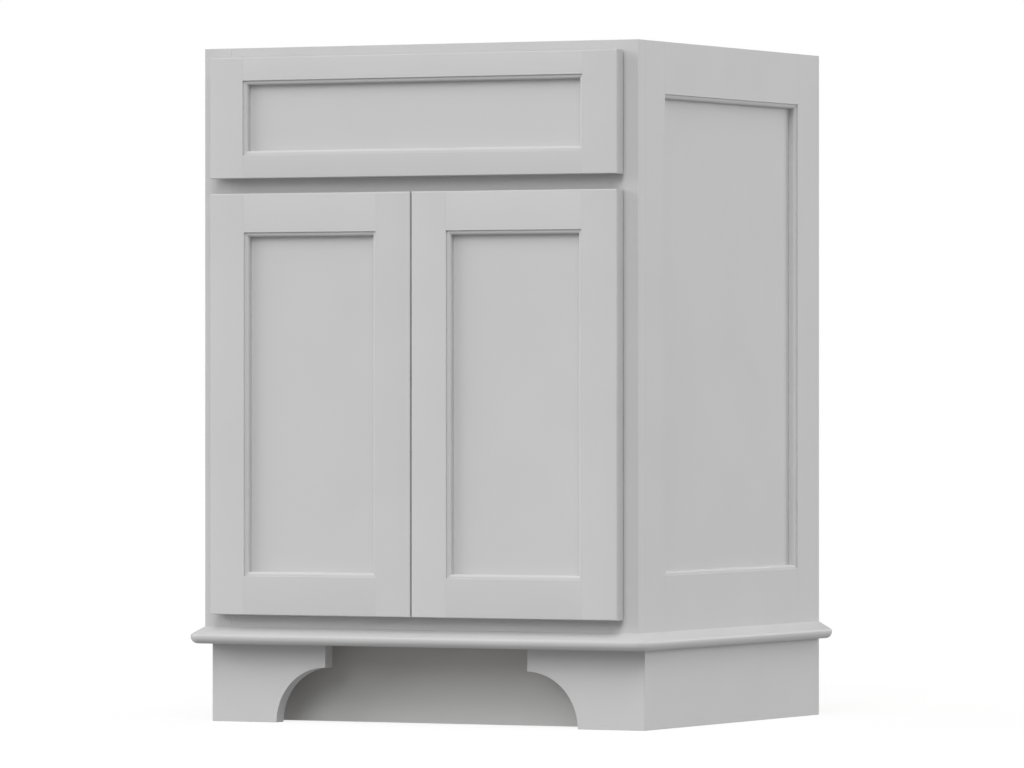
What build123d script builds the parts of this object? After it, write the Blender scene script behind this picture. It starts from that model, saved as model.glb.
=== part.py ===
from build123d import *
import math
import os

# All sizes are in millimetres. The origin is at the middle of the footprint, on the floor.
# +X points to the viewer's right, +Y to the wall behind the cabinet and +Z up.

# Cabinet box, without the fronts and the moulding
CABINET_WIDTH = 609.6
CABINET_DEPTH = 533.4
CABINET_HEIGHT = 850.9

# Face frame
FRAME_THICKNESS = 19.05
FRAME_STILE_WIDTH = 38.1
FRAME_TOP_RAIL = 38.1
FRAME_MIDDLE_RAIL = 38.1
FRAME_BOTTOM_RAIL = 50.8
FRAME_FLOOR_GAP = 99.0

# Fronts laid over the face frame
FRONT_THICKNESS = 19.05
FRONT_STANDOFF = 2.0
FRONT_SIDE_REVEAL = 19.05
FRONT_TOP_REVEAL = 12.7
FRONT_BOTTOM_REVEAL = 16.0
FRONT_GAP = 19.05
FRONT_FACE_ROUND = 1.2
FRONT_BACK_CHAMFER = 1.5
FALSE_FRONT_HEIGHT = 152.4
FALSE_FRONT_STILE = 46.8
FALSE_FRONT_RAIL = 29.3
DOOR_STILE = 48.5
DOOR_RAIL = 49.0
DOOR_MEETING_GAP = 2.0

# Moulded inner edge of every frame, and the loose panel in its groove
STICKING_QUIRK = 2.2
STICKING_FILLET = 1.8
STICKING_ROUND = 3.5
GROOVE_DEPTH = 5.0
GROOVE_BACK_LIP = 3.0
PANEL_THICKNESS = 5.2
PANEL_FIT = 0.05
PANEL_FLOAT = 1.0

# Finished ends and the base boards that carry them
END_THICKNESS = 19.05
END_FRONT_STILE = 57.0
END_REAR_STILE = 65.0
END_TOP_RAIL = 65.0
END_BOTTOM_RAIL = 80.0
BASE_BOARD_LAP = 11.0

# Plywood box
SIDE_THICKNESS = 12.7
FLOOR_THICKNESS = 12.7
BACK_THICKNESS = 6.35
BACK_BOARD_THICKNESS = 19.05
DADO_DEPTH = 6.0
HANGING_RAIL_HEIGHT = 88.9
REAR_BOARD_LAP = 50.0
TOE_BOARD_THICKNESS = 12.7
TOE_BOARD_RECESS = 63.5
PIPE_OPENING_WIDTH = 406.4
PIPE_OPENING_HEIGHT = 304.8
PIPE_OPENING_ABOVE_FLOOR = 120.0
PIPE_OPENING_CORNER = 25.0

# Corner braces under the worktop
BRACE_LEG = 105.0
BRACE_THICKNESS = 15.0
BRACE_DROP = 1.5
BRACE_TIP_FLAT = 22.0
BRACE_HOLE_INSET = 34.0
WORKTOP_HOLE_RADIUS = 2.5

# Screw holes for the wall
WALL_HOLE_SPACING = 406.4
WALL_HOLE_RADIUS = 2.5

# Bracket feet
FOOT_WIDTH = 162.5
FOOT_ARCH_RADIUS = 70.0
FOOT_BLOCK_SIDE = 25.0

# Base moulding
MOULDING_PROJECTION = 18.3
MOULDING_HEIGHT = 21.5
MOULDING_TOP_FALL = 10.0
MOULDING_TOP_ROUND = 3.7
MOULDING_UNDER_ROUND = 9.0

# Door hinges
HINGE_END_OFFSET = 88.9
PIVOT_EDGE_INSET = 7.0
PIVOT_DEPTH = 9.0
PIN_RADIUS = 1.2
PIN_FIT = 0.05
PIN_PRESS_GAP = 0.02
CUP_RADIUS = 17.5
CUP_EDGE_INSET = 3.0
CUP_WALL = 0.8
CUP_FIT = 0.1
CUP_SCREW_SPACING = 45.0
CUP_SCREW_OFFSET = 9.5
WING_THICKNESS = 0.8
WING_HALF_LENGTH = 29.0
WING_CORNER = 6.0
LUG_THICKNESS = 2.0
LUG_REACH = 4.0
ARM_THICKNESS = 1.6
ARM_WIDTH = 8.0
ARM_EYE_RADIUS = 2.4
ARM_SIDE_GAP = 0.3
ARM_PLATE_HEIGHT = 38.0
ARM_PLATE_MARGIN = 1.5
ARM_SCREW_SPACING = 25.4

# Screws and bumpers
SCREW_RADIUS = 1.6
SCREW_FIT = 0.05
SCREW_HEAD_RADIUS = 3.2
SCREW_HEAD_HEIGHT = 1.8
SCREW_HEAD_ROUND = 0.9
HINGE_SCREW_LENGTH = 14.0
CUP_SCREW_LENGTH = 12.0
FALSE_FRONT_SCREW_BITE = 11.0
FALSE_FRONT_SCREW_SPACING = 60.0
CLEAT_WIDTH = 38.1
CLEAT_THICKNESS = 12.7
CLEAT_LAP = 15.0
BUMPER_RADIUS = 4.0
BUMPER_REST_GAP = 0.1
BUMPER_SIDE_INSET = 18.0

# Shared working values: a round takes at most this share of its wall
ROUND_LIMIT = 0.9
MITRE_ANGLE = 45.0
sticking_width = STICKING_FILLET + STICKING_ROUND

# Places along the depth
front_reach = max(FRONT_STANDOFF + FRONT_THICKNESS, MOULDING_PROJECTION)
y_frame = (front_reach - CABINET_DEPTH) / 2
y_wall = y_frame + CABINET_DEPTH
y_box = y_frame + FRAME_THICKNESS
y_front_back = y_frame - FRONT_STANDOFF
y_front = y_front_back - FRONT_THICKNESS
y_toe = y_box + TOE_BOARD_RECESS
y_back_outer = y_wall - BACK_BOARD_THICKNESS
y_back_inner = y_back_outer - BACK_THICKNESS

# Places across the width, on the right-hand side
x_outer = CABINET_WIDTH / 2
x_end_inner = x_outer - END_THICKNESS
x_box_inner = x_end_inner - SIDE_THICKNESS
x_stile = x_outer - FRAME_STILE_WIDTH
x_front_edge = x_outer - FRONT_SIDE_REVEAL
x_foot = x_outer - FOOT_WIDTH
x_pivot = x_front_edge - PIVOT_EDGE_INSET
x_cup = x_front_edge - CUP_EDGE_INSET - CUP_RADIUS
x_cleat = x_stile - CLEAT_WIDTH / 2

# Places along the height
z_false_top = CABINET_HEIGHT - FRONT_TOP_REVEAL
z_false_bottom = z_false_top - FALSE_FRONT_HEIGHT
z_door_top = z_false_bottom - FRONT_GAP
z_door_bottom = FRAME_FLOOR_GAP + MOULDING_HEIGHT + FRONT_BOTTOM_REVEAL
z_middle_rail = (z_false_bottom + z_door_top - FRAME_MIDDLE_RAIL) / 2
z_upper_opening = z_middle_rail + FRAME_MIDDLE_RAIL
z_top_rail = CABINET_HEIGHT - FRAME_TOP_RAIL
z_floor = FRAME_FLOOR_GAP + FRAME_BOTTOM_RAIL
z_base_board = FRAME_FLOOR_GAP + BASE_BOARD_LAP
z_floor_under = z_floor - FLOOR_THICKNESS
z_hinges = (z_door_bottom + HINGE_END_OFFSET, z_door_top - HINGE_END_OFFSET)

# The hinge pin's line, and how deep the cup has to be to clear the arm's eye
y_pivot = y_front_back - PIVOT_DEPTH
cup_depth = PIVOT_DEPTH + ARM_EYE_RADIUS + ARM_SIDE_GAP + CUP_WALL
lug_inner = ARM_WIDTH / 2 + ARM_SIDE_GAP
pin_half_length = lug_inner + LUG_THICKNESS
screw_hole_radius = SCREW_RADIUS + SCREW_FIT

ALONG_X = Rot(0, 90, 0)
ALONG_Y = Rot(-90, 0, 0)
HEAD_TO_LEFT = Rot(0, -90, 0)


def block(x, y, z):
    """A board given by its limits along X, Y and Z."""
    size = (x[1] - x[0], y[1] - y[0], z[1] - z[0])
    return Pos(x[0], y[0], z[0]) * Box(*size, align=(Align.MIN, Align.MIN, Align.MIN))


def rod(centre, radius, length, turn=Rot(0, 0, 0)):
    """A round bar about its centre, upright unless it is turned."""
    return Pos(*centre) * turn * Cylinder(radius, length)


def mirrored(shape):
    """The same piece on the other side of the cabinet."""
    return mirror(shape, about=Plane.YZ)


def group(shapes):
    """Separate solids that share one node."""
    return Compound([solid for shape in shapes for solid in shape.solids()])


def screw(length):
    """A pan-head screw whose head stands on the plane z = 0, with the shank below it."""
    head = Cylinder(SCREW_HEAD_RADIUS, SCREW_HEAD_HEIGHT, align=(Align.CENTER, Align.CENTER, Align.MIN))
    rim = head.edges().filter_by(GeomType.CIRCLE).sort_by(Axis.Z)[-1]
    largest_round = ROUND_LIMIT * min(SCREW_HEAD_HEIGHT, SCREW_HEAD_RADIUS)
    head = fillet(rim, min(SCREW_HEAD_ROUND, largest_round))
    shank = Cylinder(SCREW_RADIUS, length, align=(Align.CENTER, Align.CENTER, Align.MAX))
    return head + shank


def sticking_section(flat, thickness):
    """Section of a frame member: flat face, quirk, fillet, quarter round, then the panel groove.

    The first coordinate runs from the outer edge towards the panel, the second from the face
    to the back.
    """
    edge = flat + sticking_width
    groove_back = thickness - GROOVE_BACK_LIP
    groove_front = groove_back - PANEL_THICKNESS - 2 * PANEL_FIT
    groove_floor = edge - GROOVE_DEPTH
    fillet_end = (flat + STICKING_FILLET, STICKING_QUIRK)
    quarter_round = JernArc(fillet_end, tangent=(1, 0), radius=STICKING_ROUND, arc_size=90)
    straight = Polyline(
        quarter_round @ 1,
        (edge, groove_front),
        (groove_floor, groove_front),
        (groove_floor, groove_back),
        (edge, groove_back),
        (edge, thickness),
        (0, thickness),
        (0, 0),
        (flat, 0),
        (flat, STICKING_QUIRK),
        fillet_end,
    )
    return make_face([*quarter_round.edges(), *straight.edges()])


def frame_member(flat, thickness, body, moulded):
    """A stile or rail along +Z with its outer edge at x = 0.

    The flat runs over the body's limits, and the moulded edge is mitred at its own limits.
    """
    stock = extrude(sticking_section(flat, thickness), body[1] - body[0], dir=(0, 0, 1))
    edge = flat + sticking_width
    corners = (
        (0, body[0]),
        (flat, body[0]),
        (flat, moulded[0]),
        (edge, moulded[0] + sticking_width),
        (edge, moulded[1] - sticking_width),
        (flat, moulded[1]),
        (flat, body[1]),
        (0, body[1]),
    )
    different_corners = dict.fromkeys(corners)
    outline = Plane.XZ * make_face(Polyline(*different_corners, close=True))
    return Pos(0, 0, body[0]) * stock & extrude(outline, thickness, dir=(0, 1, 0))


def framed_panel(width, height, thickness, stiles, rails):
    """Five-piece frame and panel, its face on y = 0 and its lower left corner at the origin.

    The stiles run the full height, and the rails stand between their flats.
    """
    left_flat, right_flat = stiles
    bottom_flat, top_flat = rails
    upright = ((0, height), (bottom_flat, height - top_flat))
    left = frame_member(left_flat, thickness, *upright)
    right = Pos(width, 0, 0) * mirrored(frame_member(right_flat, thickness, *upright))
    lying = Plane((width, 0, 0), x_dir=(0, 0, 1), z_dir=(-1, 0, 0))
    between = (right_flat, width - left_flat)
    bottom = lying * frame_member(bottom_flat, thickness, between, between)
    top = lying * frame_member(top_flat, thickness, between, between)
    overlap = sticking_width - GROOVE_DEPTH + PANEL_FLOAT
    panel_back = thickness - GROOVE_BACK_LIP - PANEL_FIT
    panel = block(
        (left_flat + overlap, width - right_flat - overlap),
        (panel_back - PANEL_THICKNESS, panel_back),
        (bottom_flat + overlap, height - top_flat - overlap),
    )
    return {
        "left_stile": left,
        "right_stile": right,
        "bottom_rail": bottom,
        "top_rail": Pos(0, 0, height) * mirror(top, about=Plane.XY),
        "panel": panel,
    }


def front_blank(width, height):
    """The outline that a door or a false front is shaped to: round face edges, chamfered back."""
    blank = block((0, width), (0, FRONT_THICKNESS), (0, height))
    blank = fillet(blank.faces().sort_by(Axis.Y)[0].edges(), FRONT_FACE_ROUND)
    return chamfer(blank.faces().sort_by(Axis.Y)[-1].edges(), FRONT_BACK_CHAMFER)


def framed_front(width, height, stile, rail):
    """A five-piece front with its outer edges shaped."""
    pieces = framed_panel(width, height, FRONT_THICKNESS, (stile, stile), (rail, rail))
    blank = front_blank(width, height)
    return {
        name: piece if name == "panel" else piece & blank
        for name, piece in pieces.items()
    }


def face_frame():
    """Two stiles with three rails between them."""
    depth = (y_frame, y_box)
    between = (-x_stile, x_stile)
    stile = block((x_stile, x_outer), depth, (FRAME_FLOOR_GAP, CABINET_HEIGHT))
    for z in z_hinges:
        for offset in (-ARM_SCREW_SPACING / 2, ARM_SCREW_SPACING / 2):
            seat = hinge_screw_seat(z + offset)
            stile -= rod(seat, screw_hole_radius, 2 * HINGE_SCREW_LENGTH, ALONG_X)
    return {
        "frame_right_stile": stile,
        "frame_left_stile": mirrored(stile),
        "frame_top_rail": block(between, depth, (z_top_rail, CABINET_HEIGHT)),
        "frame_middle_rail": block(between, depth, (z_middle_rail, z_upper_opening)),
        "frame_bottom_rail": block(between, depth, (FRAME_FLOOR_GAP, z_floor)),
    }


def plywood_box():
    """Sides, floor, back and the boards that stiffen them."""
    inside = (-x_box_inner, x_box_inner)
    housed = (-x_box_inner - DADO_DEPTH, x_box_inner + DADO_DEPTH)
    side = block((x_box_inner, x_end_inner), (y_box, y_wall), (0, CABINET_HEIGHT))
    side -= block((x_box_inner, x_end_inner), (y_box, y_toe), (0, z_base_board))
    floor = block(housed, (y_box, y_back_inner), (z_floor_under, z_floor))
    back = block(housed, (y_back_inner, y_back_outer), (z_floor_under, CABINET_HEIGHT))
    side = side - floor - back
    opening_middle = z_floor + PIPE_OPENING_ABOVE_FLOOR + PIPE_OPENING_HEIGHT / 2
    opening = RectangleRounded(PIPE_OPENING_WIDTH, PIPE_OPENING_HEIGHT, PIPE_OPENING_CORNER)
    back_plane = Plane((0, y_back_inner, opening_middle), x_dir=(1, 0, 0), z_dir=(0, -1, 0))
    back -= extrude(back_plane * opening, BACK_THICKNESS, dir=(0, 1, 0))
    rail_bottom = CABINET_HEIGHT - HANGING_RAIL_HEIGHT
    hanging_rail = block(inside, (y_back_outer, y_wall), (rail_bottom, CABINET_HEIGHT))
    for x in (-WALL_HOLE_SPACING / 2, WALL_HOLE_SPACING / 2):
        centre = (x, y_wall, rail_bottom + HANGING_RAIL_HEIGHT / 2)
        hanging_rail -= rod(centre, WALL_HOLE_RADIUS, 2 * BACK_BOARD_THICKNESS, ALONG_Y)
        back -= rod(centre, WALL_HOLE_RADIUS, 4 * BACK_BOARD_THICKNESS, ALONG_Y)
    return {
        "right_side_panel": side,
        "left_side_panel": mirrored(side),
        "cabinet_floor": floor,
        "back_panel": back,
        "hanging_rail": hanging_rail,
        "rear_base_board": block(inside, (y_back_outer, y_wall), (0, z_floor_under + REAR_BOARD_LAP)),
        "toe_kick_board": block(inside, (y_toe, y_toe + TOE_BOARD_THICKNESS), (0, z_floor_under)),
    }


def corner_braces():
    """Four gussets inside the top corners, each with a hole for a worktop screw."""
    top = CABINET_HEIGHT - BRACE_DROP
    braces = []
    for y, inward in ((y_box, 1), (y_back_inner, -1)):
        outline = Polyline(
            (x_box_inner, y),
            (x_box_inner, y + inward * BRACE_LEG),
            (x_box_inner - BRACE_TIP_FLAT, y + inward * BRACE_LEG),
            (x_box_inner - BRACE_LEG, y + inward * BRACE_TIP_FLAT),
            (x_box_inner - BRACE_LEG, y),
            close=True,
        )
        face = Pos(0, 0, top) * make_face(outline)
        brace = extrude(face, BRACE_THICKNESS, dir=(0, 0, -1))
        hole = (x_box_inner - BRACE_HOLE_INSET, y + inward * BRACE_HOLE_INSET, top)
        brace -= rod(hole, WORKTOP_HOLE_RADIUS, 3 * BRACE_THICKNESS)
        braces += [brace, mirrored(brace)]
    return {"corner_braces": group(braces)}


def finished_ends():
    """Frame-and-panel ends, flush with the edges of the face frame."""
    width = y_wall - y_box
    height = CABINET_HEIGHT - z_base_board
    stiles = (END_FRONT_STILE, END_REAR_STILE)
    rails = (END_BOTTOM_RAIL, END_TOP_RAIL)
    pieces = framed_panel(width, height, END_THICKNESS, stiles, rails)
    names = {"left_stile": "front_stile", "right_stile": "rear_stile"}
    place = Pos(x_outer, y_box, z_base_board) * Rot(0, 0, 90)
    ends = {}
    for name, piece in pieces.items():
        right = place * piece
        ends[f"right_end_{names.get(name, name)}"] = right
        ends[f"left_end_{names.get(name, name)}"] = mirrored(right)
    return ends


def base_boards():
    """Bracket feet mitred to the side boards, with a block glued in each corner."""
    y_inner = y_box + END_THICKNESS
    foot_plan = Polyline(
        (x_foot, y_box), (x_outer, y_box), (x_end_inner, y_inner), (x_foot, y_inner), close=True
    )
    side_plan = Polyline(
        (x_outer, y_box), (x_outer, y_wall), (x_end_inner, y_wall), (x_end_inner, y_inner), close=True
    )
    foot = extrude(make_face(foot_plan), z_base_board, dir=(0, 0, 1))
    foot -= rod((x_foot, y_box, 0), FOOT_ARCH_RADIUS, 4 * END_THICKNESS, ALONG_Y)
    side = extrude(make_face(side_plan), z_base_board, dir=(0, 0, 1))
    foot_block = block(
        (x_end_inner - FOOT_BLOCK_SIDE, x_end_inner),
        (y_inner, y_inner + FOOT_BLOCK_SIDE),
        (0, z_base_board),
    )
    return {
        "right_foot": foot,
        "left_foot": mirrored(foot),
        "right_base_board": side,
        "left_base_board": mirrored(side),
        "foot_blocks": group([foot_block, mirrored(foot_block)]),
    }


def moulding_section():
    """Base moulding: flat underside, round nose, short face and a top that falls outwards."""
    nose = MOULDING_UNDER_ROUND
    shoulder = MOULDING_HEIGHT - MOULDING_TOP_FALL
    straight = Polyline(
        (MOULDING_PROJECTION, nose),
        (MOULDING_PROJECTION, shoulder),
        (0, MOULDING_HEIGHT),
        (0, 0),
        (MOULDING_PROJECTION - nose, 0),
    )
    turn = math.sqrt(0.5) * nose
    under = ThreePointArc(
        (MOULDING_PROJECTION - nose, 0),
        (MOULDING_PROJECTION - nose + turn, nose - turn),
        (MOULDING_PROJECTION, nose),
    )
    section = make_face([*straight.edges(), *under.edges()])
    corner = section.vertices().sort_by_distance((MOULDING_PROJECTION, shoulder))[0]
    top_slope = math.atan2(MOULDING_TOP_FALL, MOULDING_PROJECTION)
    room = (shoulder - nose) / math.tan((math.pi / 2 - top_slope) / 2)
    return fillet(corner, min(MOULDING_TOP_ROUND, ROUND_LIMIT * room))


def base_moulding():
    """Front and side lengths, rounded and mitred at the front corners."""
    section = moulding_section()
    corner = (x_outer, y_frame, FRAME_FLOOR_GAP)
    corner_line = Axis(corner, (0, 0, 1))
    facing_front = Plane(corner, x_dir=(0, -1, 0), z_dir=(-1, 0, 0)) * section
    facing_right = Plane(corner, x_dir=(1, 0, 0), z_dir=(0, -1, 0)) * section
    front = extrude(facing_front, CABINET_WIDTH, dir=(-1, 0, 0))
    front_corner = revolve(facing_front, corner_line, MITRE_ANGLE)
    right = extrude(facing_right, CABINET_DEPTH, dir=(0, 1, 0))
    right += revolve(facing_right, corner_line, -MITRE_ANGLE)
    return {
        "base_moulding_front": front + front_corner + mirrored(front_corner),
        "base_moulding_right": right,
        "base_moulding_left": mirrored(right),
    }


def false_front():
    """Fixed front over the basin, its cleats behind the face frame, and its screws and bumpers."""
    width = 2 * x_front_edge
    place = Pos(-x_front_edge, y_front, z_false_bottom)
    pieces = framed_front(width, FALSE_FRONT_HEIGHT, FALSE_FRONT_STILE, FALSE_FRONT_RAIL)
    nodes = {f"false_front_{name}": place * piece for name, piece in pieces.items()}
    y_cleat = y_box + CLEAT_THICKNESS
    cleat = block(
        (x_stile - CLEAT_WIDTH, x_stile),
        (y_box, y_cleat),
        (z_upper_opening - CLEAT_LAP, z_top_rail + CLEAT_LAP),
    )
    screw_length = y_cleat - y_front_back + FALSE_FRONT_SCREW_BITE
    middle = (z_upper_opening + z_top_rail) / 2
    screws = []
    for z in (middle - FALSE_FRONT_SCREW_SPACING / 2, middle + FALSE_FRONT_SCREW_SPACING / 2):
        head = (x_cleat, y_cleat, z)
        screws.append(Pos(*head) * ALONG_Y * screw(screw_length))
        hole = rod(head, screw_hole_radius, 2 * screw_length, ALONG_Y)
        cleat -= hole
        nodes["false_front_right_stile"] -= hole
        nodes["false_front_left_stile"] -= mirrored(hole)
    bumpers = []
    rail_overlaps = ((z_false_bottom, z_upper_opening), (z_top_rail, z_false_top))
    for low, high in rail_overlaps:
        centre = (x_front_edge - BUMPER_SIDE_INSET, y_frame - FRONT_STANDOFF / 2, (low + high) / 2)
        bumpers.append(rod(centre, BUMPER_RADIUS, FRONT_STANDOFF, ALONG_Y))
    nodes["false_front_cleats"] = group([cleat, mirrored(cleat)])
    nodes["false_front_screws"] = group(screws + [mirrored(one) for one in screws])
    nodes["false_front_bumpers"] = group(bumpers + [mirrored(one) for one in bumpers])
    return nodes


def hinge_screw_seat(z):
    """Where a hinge screw's head meets the arm on the right-hand stile."""
    return (x_stile - ARM_THICKNESS, (y_frame + y_box) / 2, z)


def cup_screw_seat(z):
    """Where a cup screw's head meets the wing of the right-hand cup."""
    return (x_cup - CUP_SCREW_OFFSET, y_front_back + WING_THICKNESS, z)


def hinge_cup(z):
    """Round cup let into the door, with a wing for two screws and two lugs for the pin."""
    y_floor = y_front_back - cup_depth
    y_lip = y_front_back + WING_THICKNESS
    body = rod((x_cup, (y_floor + y_lip) / 2, z), CUP_RADIUS, y_lip - y_floor, ALONG_Y)
    wing_outline = RectangleRounded(2 * CUP_RADIUS - WING_CORNER, 2 * WING_HALF_LENGTH, WING_CORNER)
    wing_middle = x_cup - CUP_SCREW_OFFSET
    wing_plane = Plane((wing_middle, y_front_back, z), x_dir=(1, 0, 0), z_dir=(0, -1, 0))
    wing = extrude(wing_plane * wing_outline, WING_THICKNESS, dir=(0, 1, 0))
    wing -= block((x_cup, x_outer), (y_front_back, y_lip), (z - WING_HALF_LENGTH, z + WING_HALF_LENGTH))
    y_bowl = y_floor + CUP_WALL
    hollow = rod((x_cup, (y_bowl + y_lip) / 2, z), CUP_RADIUS - CUP_WALL, y_lip - y_bowl, ALONG_Y)
    cup = body + wing - hollow
    lugs = block(
        (x_pivot - LUG_REACH, x_cup + CUP_RADIUS),
        (y_floor, y_pivot + LUG_REACH),
        (z - pin_half_length, z + pin_half_length),
    )
    lugs -= block(
        (x_pivot - LUG_REACH, x_cup + CUP_RADIUS),
        (y_floor, y_pivot + LUG_REACH),
        (z - lug_inner, z + lug_inner),
    )
    cup += lugs & body
    cup -= rod((x_pivot, y_pivot, z), PIN_RADIUS + PIN_PRESS_GAP, 2 * pin_half_length)
    for offset in (-CUP_SCREW_SPACING / 2, CUP_SCREW_SPACING / 2):
        cup -= rod(cup_screw_seat(z + offset), screw_hole_radius, 2 * cup_depth, ALONG_Y)
    return cup


def hinge_arm(z):
    """Bent strap from the pin's eye to a plate on the inner edge of the frame stile."""
    low, high = z - ARM_WIDTH / 2, z + ARM_WIDTH / 2
    leg = (x_stile - ARM_THICKNESS, x_stile)
    y_tip = y_pivot - ARM_EYE_RADIUS
    y_plate = (y_frame + ARM_PLATE_MARGIN, y_box - ARM_PLATE_MARGIN)
    arm = rod((x_pivot, y_pivot, z), ARM_EYE_RADIUS, ARM_WIDTH)
    arm += block((leg[0], x_pivot), (y_tip, y_tip + ARM_THICKNESS), (low, high))
    arm += block(leg, (y_tip, y_plate[1]), (low, high))
    arm += block(leg, y_plate, (z - ARM_PLATE_HEIGHT / 2, z + ARM_PLATE_HEIGHT / 2))
    arm -= rod((x_pivot, y_pivot, z), PIN_RADIUS + PIN_FIT, 2 * ARM_WIDTH)
    for offset in (-ARM_SCREW_SPACING / 2, ARM_SCREW_SPACING / 2):
        arm -= rod(hinge_screw_seat(z + offset), screw_hole_radius, 4 * ARM_THICKNESS, ALONG_X)
    return arm


def door_and_hinges():
    """The right-hand door with everything that it carries or hangs from, and its mirror image."""
    width = x_front_edge - DOOR_MEETING_GAP / 2
    height = z_door_top - z_door_bottom
    place = Pos(x_front_edge - width, y_front, z_door_bottom)
    names = {"left_stile": "meeting_stile", "right_stile": "hinge_stile"}
    pieces = framed_front(width, height, DOOR_STILE, DOOR_RAIL)
    right = {f"door_{names.get(name, name)}": place * piece for name, piece in pieces.items()}
    arm_screws = []
    cup_screws = []
    for z in z_hinges:
        bore_depth = cup_depth + CUP_FIT
        bore_middle = (x_cup, y_front_back - bore_depth / 2, z)
        right["door_hinge_stile"] -= rod(bore_middle, CUP_RADIUS + CUP_FIT, bore_depth, ALONG_Y)
        for offset in (-CUP_SCREW_SPACING / 2, CUP_SCREW_SPACING / 2):
            seat = cup_screw_seat(z + offset)
            cup_screws.append(Pos(*seat) * ALONG_Y * screw(CUP_SCREW_LENGTH))
            right["door_hinge_stile"] -= rod(seat, screw_hole_radius, 2 * CUP_SCREW_LENGTH, ALONG_Y)
        for offset in (-ARM_SCREW_SPACING / 2, ARM_SCREW_SPACING / 2):
            seat = hinge_screw_seat(z + offset)
            arm_screws.append(Pos(*seat) * HEAD_TO_LEFT * screw(HINGE_SCREW_LENGTH))
    bumper_thickness = FRONT_STANDOFF - BUMPER_REST_GAP
    bumpers = []
    for z in ((z_door_bottom + z_floor) / 2, (z_middle_rail + z_door_top) / 2):
        centre = (x_front_edge - width + BUMPER_SIDE_INSET, y_front_back + bumper_thickness / 2, z)
        bumpers.append(rod(centre, BUMPER_RADIUS, bumper_thickness, ALONG_Y))
    right["hinge_cups"] = group([hinge_cup(z) for z in z_hinges])
    pins = [rod((x_pivot, y_pivot, z), PIN_RADIUS, 2 * pin_half_length) for z in z_hinges]
    right["hinge_pins"] = group(pins)
    right["hinge_cup_screws"] = group(cup_screws)
    right["hinge_arms"] = group([hinge_arm(z) for z in z_hinges])
    right["door_bumpers"] = group(bumpers)
    nodes = {f"right_{name}": piece for name, piece in right.items()}
    nodes |= {f"left_{name}": mirrored(piece) for name, piece in right.items()}
    nodes["hinge_arm_screws"] = group(arm_screws + [mirrored(one) for one in arm_screws])
    return nodes


def build():
    """Every node of the cabinet, by name."""
    nodes = {}
    for section in (
        face_frame,
        plywood_box,
        corner_braces,
        finished_ends,
        base_boards,
        base_moulding,
        false_front,
        door_and_hinges,
    ):
        nodes |= section()
    return nodes


os.makedirs("parts", exist_ok=True)
for node, shape in build().items():
    export_step(shape, f"parts/{node}.step")
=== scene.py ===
"""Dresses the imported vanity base: painted boards, plywood box, hinges and screws, on a pale floor.

All lengths are in metres, in the row frame: +X to the viewer's right, +Y to the wall, +Z up. New pieces
are numpy surfaces, most of them a profile carried along a path, and their sizes come from the frame's
own boxes and from the named fields of each sub-assembly.

In a finish, a fineness is per metre, and a pair of them is along the grain and across it. A roughness is
a lower and an upper limit, and a relief is the bump's strength and its depth.
"""

import sys

import logging
import math
from dataclasses import dataclass
from enum import Enum
from typing import Sequence

import bmesh
import bpy
import numpy as np
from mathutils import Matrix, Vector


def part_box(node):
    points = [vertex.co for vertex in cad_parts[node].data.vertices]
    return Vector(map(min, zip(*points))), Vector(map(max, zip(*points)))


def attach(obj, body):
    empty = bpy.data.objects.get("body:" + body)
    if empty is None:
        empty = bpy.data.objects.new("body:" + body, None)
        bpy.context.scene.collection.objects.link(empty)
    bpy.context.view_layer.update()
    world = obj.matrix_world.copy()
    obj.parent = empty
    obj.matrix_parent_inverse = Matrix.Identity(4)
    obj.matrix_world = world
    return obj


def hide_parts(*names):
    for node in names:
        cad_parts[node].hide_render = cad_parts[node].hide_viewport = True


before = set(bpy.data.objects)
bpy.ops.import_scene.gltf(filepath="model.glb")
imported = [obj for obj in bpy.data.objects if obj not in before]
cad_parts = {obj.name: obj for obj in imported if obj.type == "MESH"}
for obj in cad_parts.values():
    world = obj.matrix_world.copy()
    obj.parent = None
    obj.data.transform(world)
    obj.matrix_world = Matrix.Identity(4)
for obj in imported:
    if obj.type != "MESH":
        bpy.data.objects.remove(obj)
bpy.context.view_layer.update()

Array = np.ndarray
Face = list[int]
Pair = tuple[float, float]
Triple = tuple[float, float, float]
Socket = bpy.types.NodeSocket
LOG = logging.getLogger("vanity")
MERGE_DISTANCE = 1e-6
SHARP_ANGLE = math.radians(32.0)
EASE_SEGMENTS = 2


class Side(Enum):
    """The two sides of the cabinet, as the sign of X."""

    LEFT = -1.0
    RIGHT = 1.0

    @property
    def word(self) -> str:
        """The side's name in piece and node names."""
        return self.name.lower()

    @property
    def door(self) -> str:
        """The body that this side's door moves with."""
        return f"{self.word}_door"


class Run(Enum):
    """Which way a board or its grain runs, as the number of an axis."""

    ACROSS = 0
    BACK = 1
    UP = 2


class Slot(Enum):
    """The record's material slot names, carried in each new piece's dress."""

    PAINT = "grey_paint"
    SCREW = "screw_steel"
    BUMPER = "bumper_plastic"


CABINET = "cabinet"
WHITE = (1.0, 1.0, 1.0, 1.0)
X_AXIS = (1.0, 0.0, 0.0)
Y_AXIS = (0.0, 1.0, 0.0)
Z_AXIS = (0.0, 0.0, 1.0)


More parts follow.
